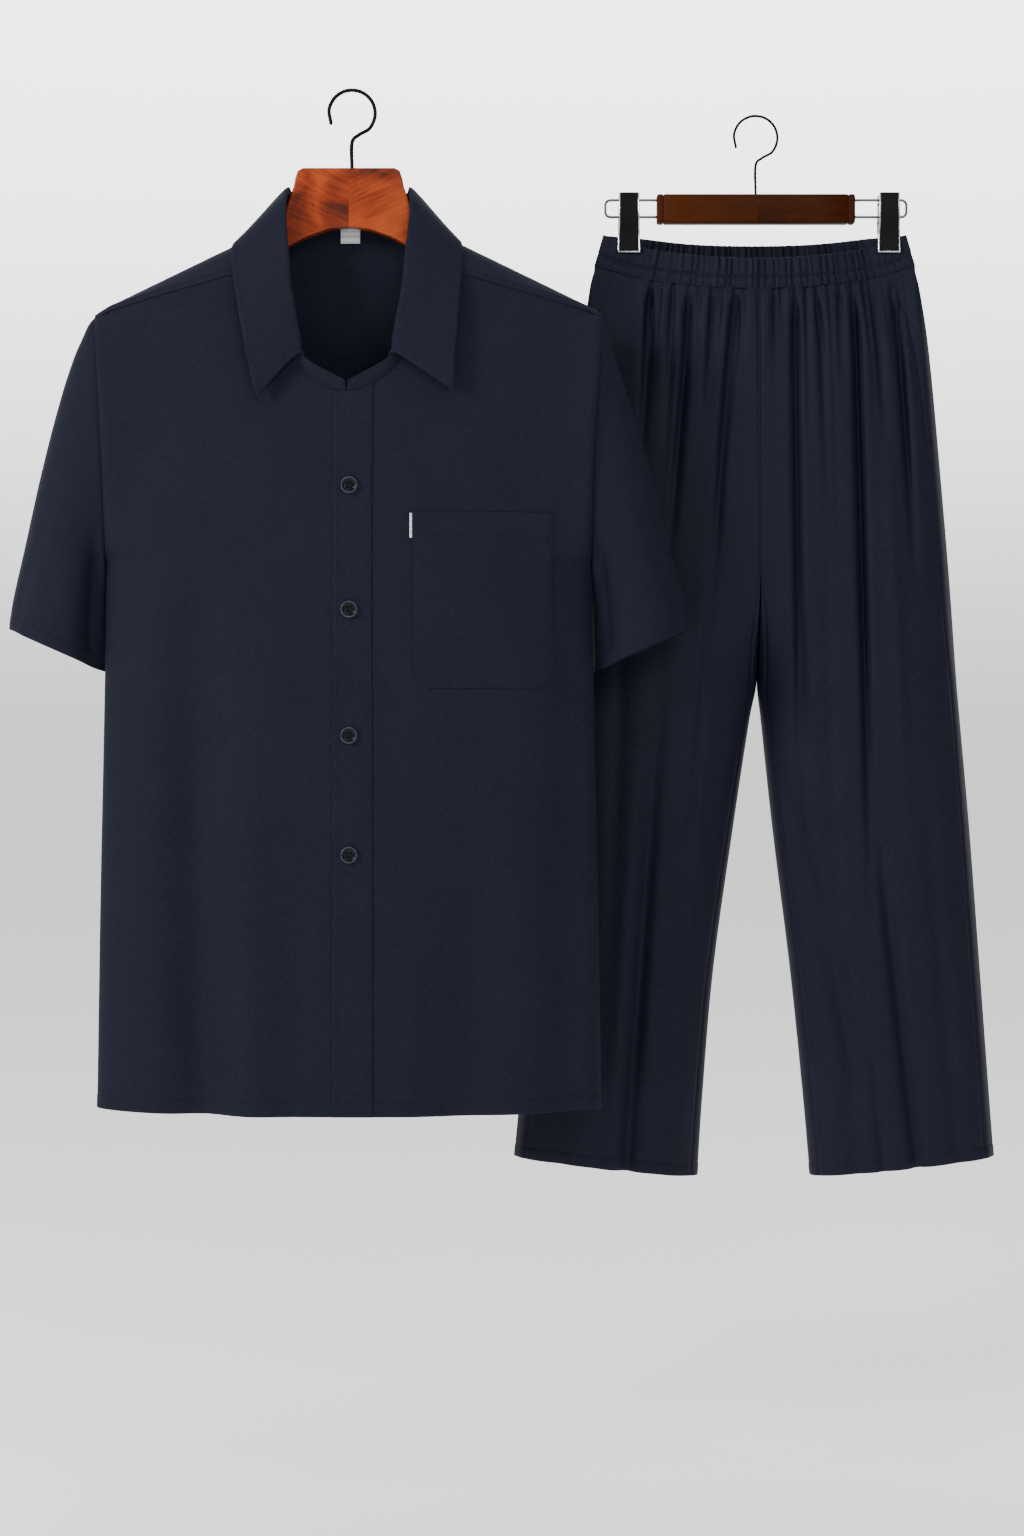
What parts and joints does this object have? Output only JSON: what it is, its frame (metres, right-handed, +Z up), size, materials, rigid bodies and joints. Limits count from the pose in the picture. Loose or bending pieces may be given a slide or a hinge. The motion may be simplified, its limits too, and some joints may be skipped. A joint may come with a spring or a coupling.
{
  "type": "shirt and trousers set on hangers",
  "caption": "Short-sleeved button-up shirt on a wooden hanger with matching elastic-waist trousers behind it on a clip hanger, hung flat side by side.",
  "frame": {"origin": "inside top of the shirt hanger's hook, where a rail carries it", "axes": "+Z up, -Y out of the front of both garments, +X from the shirt towards the trousers"},
  "size_m": [0.9464, 0.1877, 1.0366],
  "materials": {
    "shirt_cloth": "matt navy woven cloth",
    "trouser_cloth": "navy woven cloth with a soft sheen",
    "label_tape": "matt off-white tape",
    "button_resin": "polished navy resin",
    "red_brown_wood": "gloss varnish",
    "dark_wood": "gloss varnish",
    "black_steel": "satin black",
    "bright_steel": "polished"
  },
  "bodies": {
    "root": {"shirt_front_right": "shirt_cloth", "shirt_front_left": "shirt_cloth", "shirt_back": "shirt_cloth", "sleeve_right": "shirt_cloth", "sleeve_left": "shirt_cloth", "collar_stand": "shirt_cloth", "collar_leaf": "shirt_cloth", "placket": "shirt_cloth", "pocket": "shirt_cloth", "pocket_tab": "label_tape", "neck_label": "label_tape", "button_1": "button_resin", "button_2": "button_resin", "button_3": "button_resin", "button_4": "button_resin", "hanger_wood": "red_brown_wood", "hanger_hook": "black_steel", "waistband_front": "trouser_cloth", "waistband_back": "trouser_cloth", "trouser_front_right": "trouser_cloth", "trouser_front_left": "trouser_cloth", "trouser_back_right": "trouser_cloth", "trouser_back_left": "trouser_cloth", "clip_bar": "dark_wood", "clip_hook": "black_steel", "clip_wire_left": "bright_steel", "clip_wire_right": "bright_steel", "clip_jaw_front_left": "black_steel", "clip_jaw_back_left": "black_steel", "clip_jaw_front_right": "black_steel", "clip_jaw_back_right": "black_steel"}
  },
  "joints": []
}
